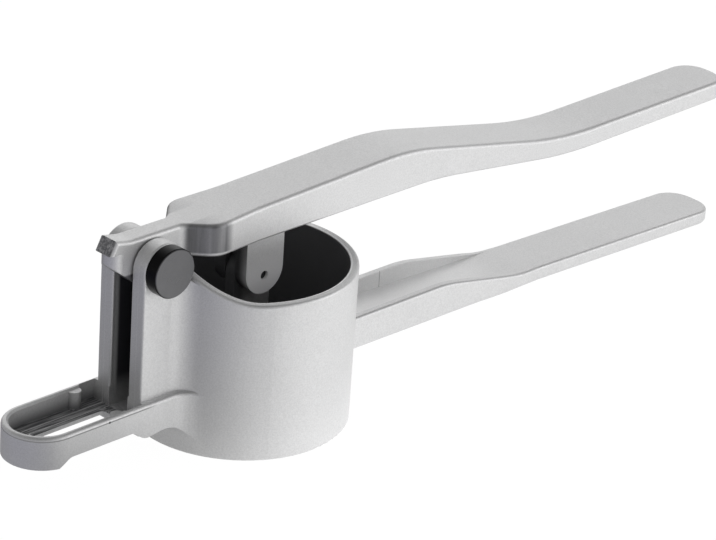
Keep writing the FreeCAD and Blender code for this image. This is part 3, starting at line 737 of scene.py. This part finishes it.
@dataclass(frozen=True)
class LeverAlloy(CastAlloy):
    """The lever's casting: painted shade at the nose's end, beside the neck and inside the fork, and dull on
    the lugs.
    """

    # the lever's painted shade takes these three
    dark_colour: Colour = (0.09, 0.09, 0.10)
    dark_roughness: float = 0.45
    dark_metallic: float = 0.9
    pale_colour: Colour = (0.72, 0.72, 0.73)
    pale_metallic: float = 0.15
    # painted shade in patches on the nose's end face, which faces away from the light
    nose_top: Pair = (-69.4, 91.9)  # x and z of the nose's end face at its upper edge
    nose_low: Pair = (-72.3, 86.4)  # and at its lower edge
    nose_edge: Pair = (-0.45, -0.15)  # distances from the face's plane
    nose_shade_patches: Mottle = Mottle(900.0, (0.30, 0.62), (0.30, 0.85), roughness=0.7)
    # painted shade in vertical streaks in the hollows beside the neck
    hollow: Place = Place((
        Limit(Measure.X, -38.5, -36.0), Limit(Measure.X, -19.5, -24.0), Limit(Measure.ASIDE, 4.6, 6.5),
        Limit(Measure.Z, 78.6, 79.4), Limit(Measure.Z, 91.0, 89.5)))
    hollow_shade_streaks: Mottle = Mottle(220.0, NOISE_SPAN, (0.66, 0.88), stretch=(1.0, 1.0, 0.05))
    # painted shade inside the fork and on the far lug, where the pot shades them
    fork: Place = Place((
        Limit(Measure.Y, -9.0, -4.0, high=0.85), Limit(Measure.X, 16.0, 15.0), Limit(Measure.Z, 77.5, 76.5)))
    lugs: Place = Place((Limit(Measure.X, 16.0, 15.0), Limit(Measure.Z, 74.0, 58.0)))

    def dark_places(self, ruler: Ruler) -> Any:
        """Finds the painted shade: the nose's end, the hollows beside the neck and the inside of the fork.

        Args:
            ruler: measures the lever's points.

        Returns:
            How dark each point is, from 0 to 1.
        """
        sheet = ruler.sheet
        return sheet.highest(sheet.product(self.nose_face(ruler), self.nose_shade_patches.mask(ruler)),
                             sheet.product(self.hollow.mask(ruler), self.hollow_shade_streaks.mask(ruler)),
                             self.fork.mask(ruler))

    def pale_places(self, ruler: Ruler) -> Any:
        """Returns how pale each point is: the lower ends of the lugs, which the blasting left dull."""
        return self.lugs.mask(ruler)

    def nose_face(self, ruler: Ruler) -> Socket:
        """Finds the nose's end face by its distance from that face's plane.

        Args:
            ruler: measures the lever's points.

        Returns:
            1 on the face and 0 elsewhere.
        """
        (top_x, top_z), (low_x, low_z) = self.nose_top, self.nose_low
        length = math.hypot(top_x - low_x, top_z - low_z)
        out_x, out_z = -(top_z - low_z) / length, (top_x - low_x) / length
        plane = top_x * out_x + top_z * out_z
        ahead = ruler.sheet.math(Maths.ADD, ruler.sheet.product(ruler.read(Measure.X), out_x),
                                 ruler.sheet.product(ruler.read(Measure.Z), out_z))
        return ruler.sheet.fade(ahead, *((plane + edge) * MM for edge in self.nose_edge))


@dataclass(frozen=True)
class PlungerAlloy(CastAlloy):
    """The plunger's casting: painted shade on its web towards the hinge."""

    dark_colour: Colour = (0.04, 0.04, 0.045)
    # painted shade on the web towards the hinge
    web_front_shade: Place = Place((Limit(Measure.X, 2.0, -5.0, high=0.93), Limit(Measure.Z, 34.0, 40.0)))

    def dark_places(self, ruler: Ruler) -> Any:
        """Returns how dark each point is: painted shade on the web's side towards the hinge."""
        return self.web_front_shade.mask(ruler)


@dataclass(frozen=True)
class TurnedSteel(Finish):
    """Dark turned steel with fine rings about an axis, and painted shade that makes it nearly black round its
    edge.
    """

    centre: Point = (0.0, 0.0, 0.0)
    rings_per_metre: float = 2600.0
    ring_shades: Pair = (0.86, 1.12)
    smears_per_metre: float = 160.0
    smear_span: Pair = (0.35, 0.75)
    smear_shade: float = 1.5
    smear_share: float = 0.22
    smear_gloss: Pair = (-0.04, 0.06)  # roughness added between the smears and on them
    edge: Pair = (9.30, 9.65)  # radii where the painted shade on the edge starts and where it is full
    painted_edge_shade: float = 0.10
    depth: float = 0.02
    depth_strength: float = 0.35

    def paint(self, sheet: NodeSheet, position: Socket) -> dict[str, Any]:
        """Makes the rings, the smears and the painted shade round the edge.

        Args:
            sheet: the material's sheet.
            position: the piece's object coordinates.

        Returns:
            The value for each input of the Principled BSDF, by name.
        """
        placed = sheet.mapped(position, "Location", Vector(self.centre) * -MM)
        lathe = TurnedRings().place(sheet, position=placed, rings_per_metre=self.rings_per_metre)
        smear = sheet.noise(placed, self.smears_per_metre, detail=3.0, roughness=0.55)
        tone = sheet.blend(lathe["Rings"], *(self.shade(factor) for factor in self.ring_shades))
        smeared = sheet.fade(smear, *self.smear_span, 0.0, self.smear_share)
        tone = sheet.blend(smeared, tone, self.shade(self.smear_shade))
        edge = sheet.fade(lathe["Radius"], *(radius * MM for radius in self.edge))
        gloss = (self.roughness + change for change in self.smear_gloss)
        return {"Base Color": sheet.blend(edge, tone, self.shade(self.painted_edge_shade)),
                "Roughness": sheet.fade(smear, *NOISE_SPAN, *gloss),
                "Normal": sheet.bump(lathe["Rings"], self.depth, self.depth_strength)}


@dataclass(frozen=True)
class GroundSteel(Finish):
    """Ground steel, faintly mottled and with a few pits."""

    mottle_per_metre: float = 2400.0
    mottle_shades: Pair = (0.8, 1.1)
    mottle_dull: float = 0.12
    pits_per_metre: float = 900.0
    pit_span: Pair = (0.62, 0.72)
    pit_shade: float = 0.3
    depth: float = 0.03
    depth_strength: float = 0.4

    def paint(self, sheet: NodeSheet, position: Socket) -> dict[str, Any]:
        """Makes the mottle and the pits.

        Args:
            sheet: the material's sheet.
            position: the piece's object coordinates.

        Returns:
            The value for each input of the Principled BSDF, by name.
        """
        mottle = sheet.noise(position, self.mottle_per_metre, roughness=0.6)
        pits = sheet.fade(sheet.noise(position, self.pits_per_metre), *self.pit_span)
        tone = sheet.blend(mottle, *(self.shade(factor) for factor in self.mottle_shades))
        dullest = self.roughness + self.mottle_dull
        return {"Base Color": sheet.blend(pits, tone, self.shade(self.pit_shade)),
                "Roughness": sheet.fade(mottle, *NOISE_SPAN, self.roughness, dullest),
                "Normal": sheet.bump(mottle, self.depth, self.depth_strength)}


@dataclass(frozen=True)
class SheetSteel(Finish):
    """Rolled stainless sheet with long faint streaks along X."""

    streaks_per_metre: float = 1800.0
    stretch: Point = (0.04, 1.0, 1.0)
    streak_shades: Pair = (0.85, 1.08)
    streak_dull: float = 0.14
    depth: float = 0.02
    depth_strength: float = 0.3

    def paint(self, sheet: NodeSheet, position: Socket) -> dict[str, Any]:
        """Makes the streaks.

        Args:
            sheet: the material's sheet.
            position: the piece's object coordinates.

        Returns:
            The value for each input of the Principled BSDF, by name.
        """
        stretched = sheet.mapped(position, "Scale", self.stretch)
        streaks = sheet.noise(stretched, self.streaks_per_metre, detail=3.0, roughness=0.6)
        tone = sheet.blend(streaks, *(self.shade(factor) for factor in self.streak_shades))
        dullest = self.roughness + self.streak_dull
        return {"Base Color": tone,
                "Roughness": sheet.fade(streaks, *NOISE_SPAN, self.roughness, dullest),
                "Normal": sheet.bump(streaks, self.depth, self.depth_strength)}


# ---------------------------------------------------------------- the press


@dataclass(frozen=True)
class Press:
    """The press: gives each of its pieces a finish."""

    frame: dict[str, Any]
    lever: Finish = LeverAlloy("lever_alloy", ALUMINIUM, ALUMINIUM_ROUGHNESS)
    pot: Finish = PotAlloy("pot_alloy", ALUMINIUM, ALUMINIUM_ROUGHNESS)
    plunger: Finish = PlungerAlloy("plunger_alloy", ALUMINIUM, ALUMINIUM_ROUGHNESS)
    cap: Finish = TurnedSteel("dark_turned_steel", (0.13, 0.13, 0.134), roughness=0.30, centre=HINGE)
    hinge_steel: Finish = GroundSteel("ground_steel", (0.42, 0.42, 0.43), roughness=0.30)
    fork_pin: Finish = GroundSteel("dark_steel", (0.06, 0.06, 0.062), roughness=0.45)
    sieve: Finish = SheetSteel("sieve_steel", (0.60, 0.60, 0.61), roughness=0.28)

    def dress(self) -> None:
        """Gives every CAD node its finish."""
        finishes = {
            "pot_body": self.pot, "press_lever": self.lever, "plunger": self.plunger,
            "hinge_cap": self.cap, "hinge_pin": self.hinge_steel, "retaining_ring": self.hinge_steel,
            "plunger_pin": self.fork_pin, "sieve_plate": self.sieve,
        }
        for name, finish in finishes.items():
            node = self.frame["nodes"][name]
            node.data.materials.clear()
            node.data.materials.append(finish.material())
            log.info("%s is finished in %s", name, finish.name)


# ---------------------------------------------------------------- surroundings


@dataclass(frozen=True)
class Glow:
    """A soft bright patch of the surroundings, as gloss shows it."""

    azimuth: float  # degrees from +X towards +Y
    height: float  # degrees above the horizon
    reach: float  # degrees from its middle to where it has faded away
    grey: float  # how bright its middle is

    @property
    def way(self) -> Point:
        """Returns the direction of its middle."""
        turn, lift = math.radians(self.azimuth), math.radians(self.height)
        return math.cos(lift) * math.cos(turn), math.cos(lift) * math.sin(turn), math.sin(lift)

    @property
    def edge(self) -> float:
        """Returns the cosine of its reach."""
        return math.cos(math.radians(self.reach))


@dataclass(frozen=True)
class Camera:
    """The scene's camera."""

    stand: Point = (-849.28, -877.97, 629.07)
    forward: Point = (0.65319811, 0.6293395, -0.42102734)
    roll_deg: float = 3.71
    lens: float = 178.27
    sensor: float = 36.0
    clip: Pair = (0.05, 50.0)  # metres

    def build(self) -> None:
        """Makes the camera and looks through it."""
        data = bpy.data.cameras.new("camera")
        data.lens, data.sensor_width = self.lens, self.sensor
        data.clip_start, data.clip_end = self.clip
        camera = bpy.data.objects.new("camera", data)
        bpy.context.scene.collection.objects.link(camera)
        camera.location = Vector(self.stand) * MM
        camera.rotation_mode = "QUATERNION"
        roll = Quaternion((0.0, 0.0, 1.0), math.radians(self.roll_deg))
        camera.rotation_quaternion = Vector(self.forward).to_track_quat("-Z", "Y") @ roll
        bpy.context.scene.camera = camera
        log.info("the camera has a lens of %g mm", self.lens)


@dataclass(frozen=True)
class Lamp:
    """A large soft lamp, low at the press's right."""

    place: Point = (1200.0, -1200.0, 250.0)
    aim: Point = (30.0, 0.0, 50.0)
    size: float = 900.0
    watts: float = 2.4

    def build(self) -> None:
        """Makes the lamp and aims it."""
        data = bpy.data.lights.new("key", "AREA")
        data.shape, data.size, data.energy = "SQUARE", self.size * MM, self.watts
        lamp = bpy.data.objects.new("key", data)
        bpy.context.scene.collection.objects.link(lamp)
        place, aim = Vector(self.place) * MM, Vector(self.aim) * MM
        lamp.location = place
        lamp.rotation_mode = "QUATERNION"
        lamp.rotation_quaternion = (aim - place).to_track_quat("-Z", "Y")
        log.info("the lamp gives %g W", self.watts)


@dataclass(frozen=True)
class Surroundings:
    """Something bright round the press: white where it is seen, and dusk with glows where gloss shows it."""

    dusk: float
    glows: tuple[Glow, ...]
    white: tuple[float, float, float, float] = (1.0, 1.0, 1.0, 1.0)

    def tint(self, sheet: NodeSheet, position: Socket, dusk: Any, cool: Any = 0.0) -> Socket:
        """Returns its colour.

        Args:
            sheet: the material's or the world's sheet.
            position: a point or a direction, counted from the press.
            dusk: the grey away from every glow.
            cool: how much more blue than red and green gloss shows.

        Returns:
            The colour's socket.
        """
        way = sheet.add("VectorMath", operation="NORMALIZE")
        sheet.put(position, way.inputs[0])
        grey: Any = dusk
        for glow in self.glows:
            near = sheet.add("VectorMath", operation="DOT_PRODUCT")
            sheet.put(way.outputs["Vector"], near.inputs[0])
            near.inputs[1].default_value = glow.way
            part = sheet.fade(near.outputs["Value"], glow.edge, 1.0, 0.0, glow.grey)
            grey = sheet.math(Maths.ADD, part, grey)
        colour = sheet.add("CombineColor")
        for value, socket in zip((grey, grey, sheet.math(Maths.ADD, grey, cool)), colour.inputs):
            sheet.put(value, socket)
        return sheet.blend(sheet.add("LightPath").outputs["Is Glossy Ray"], self.white, colour.outputs[0])

    def seen_share(self, sheet: NodeSheet) -> Socket:
        """Returns 1 for rays from the camera, from gloss and through glass, and 0 for the rest."""
        path = sheet.add("LightPath").outputs
        return sheet.highest(path["Is Camera Ray"], path["Is Glossy Ray"], path["Is Transmission Ray"])


@dataclass(frozen=True)
class Floor(Surroundings):
    """The pale floor that the press stands on."""

    dusk: float = 0.17
    glows: tuple[Glow, ...] = (Glow(-50.0, 0.0, 120.0, 0.97), Glow(-165.0, 0.0, 75.0, 0.15))
    half: float = 3000.0
    colour: tuple[float, float, float, float] = (0.92, 0.92, 0.92, 1.0)
    glow_share: float = 0.95
    glow_strength: float = 1.03
    near_edge: Pair = (50.0, 85.0)  # distances from the pot's axis
    near_grey: float = 0.20
    cool_edge: Pair = (-80.0, -200.0)  # along X, ahead of the loop
    cool: float = 0.08

    def build(self) -> None:
        """Makes the floor."""
        bpy.ops.object.select_all(action="DESELECT")
        bpy.ops.mesh.primitive_plane_add(size=2 * self.half * MM, location=(0.0, 0.0, 0.0))
        floor = bpy.context.object
        floor.name = "floor"
        floor.data.materials.append(self.material())
        log.info("the floor is staged")

    def material(self) -> bpy.types.Material:
        """Makes the floor's material.

        Returns:
            The material.
        """
        material = bpy.data.materials.new("pale_floor")
        material.use_nodes = True
        sheet = NodeSheet(material.node_tree)
        position = sheet.add("TexCoord").outputs["Object"]
        (near, far), (start, end) = self.near_edge, self.cool_edge
        dusk = sheet.fade(sheet.length(position), near * MM, far * MM, self.dusk + self.near_grey, self.dusk)
        cool = sheet.fade(sheet.parts(position)[0], start * MM, end * MM, 0.0, self.cool)
        diffuse, glow = sheet.add("BsdfDiffuse"), sheet.add("Emission")
        diffuse.inputs["Color"].default_value = self.colour
        sheet.put(self.tint(sheet, position, dusk, cool), glow.inputs["Color"])
        glow.inputs["Strength"].default_value = self.glow_strength
        mix, out = sheet.add("MixShader"), sheet.add("OutputMaterial")
        share = sheet.product(self.seen_share(sheet), self.glow_share)
        for value, socket in zip((share, diffuse.outputs[0], glow.outputs[0]), mix.inputs):
            sheet.put(value, socket)
        sheet.put(mix.outputs[0], out.inputs["Surface"])
        return material


@dataclass(frozen=True)
class Sky(Surroundings):
    """The world round the press, dimmer where it lights than where it is seen."""

    dusk: float = 0.40
    glows: tuple[Glow, ...] = (
        Glow(44.0, 25.0, 52.0, 0.74), Glow(-50.0, 5.0, 45.0, 0.90), Glow(0.0, 90.0, 75.0, -0.30))
    light: float = 0.75

    def build(self) -> None:
        """Makes the world."""
        world = bpy.data.worlds.new("studio")
        bpy.context.scene.world = world
        world.use_nodes = True
        sheet = NodeSheet(world.node_tree)
        lit, seen = sheet.add("Background"), sheet.add("Background")
        lit.inputs["Color"].default_value = self.white
        lit.inputs["Strength"].default_value = self.light
        direction = sheet.add("TexCoord").outputs["Generated"]
        sheet.put(self.tint(sheet, direction, self.dusk), seen.inputs["Color"])
        mix, out = sheet.add("MixShader"), sheet.add("OutputWorld")
        for value, socket in zip((self.seen_share(sheet), lit.outputs[0], seen.outputs[0]), mix.inputs):
            sheet.put(value, socket)
        sheet.put(mix.outputs[0], out.inputs["Surface"])
        log.info("the world lights at %g", self.light)


# ---------------------------------------------------------------- main


def main() -> None:
    """Builds the scene."""
    logging.basicConfig(level=logging.INFO, format="%(name)s: %(message)s")
    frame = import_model()
    bpy.context.scene.view_settings.view_transform = "Standard"
    Press(frame).dress()
    for part in (Floor(), Sky(), Lamp(), Camera()):
        part.build()


if __name__ == "__main__":
    main()
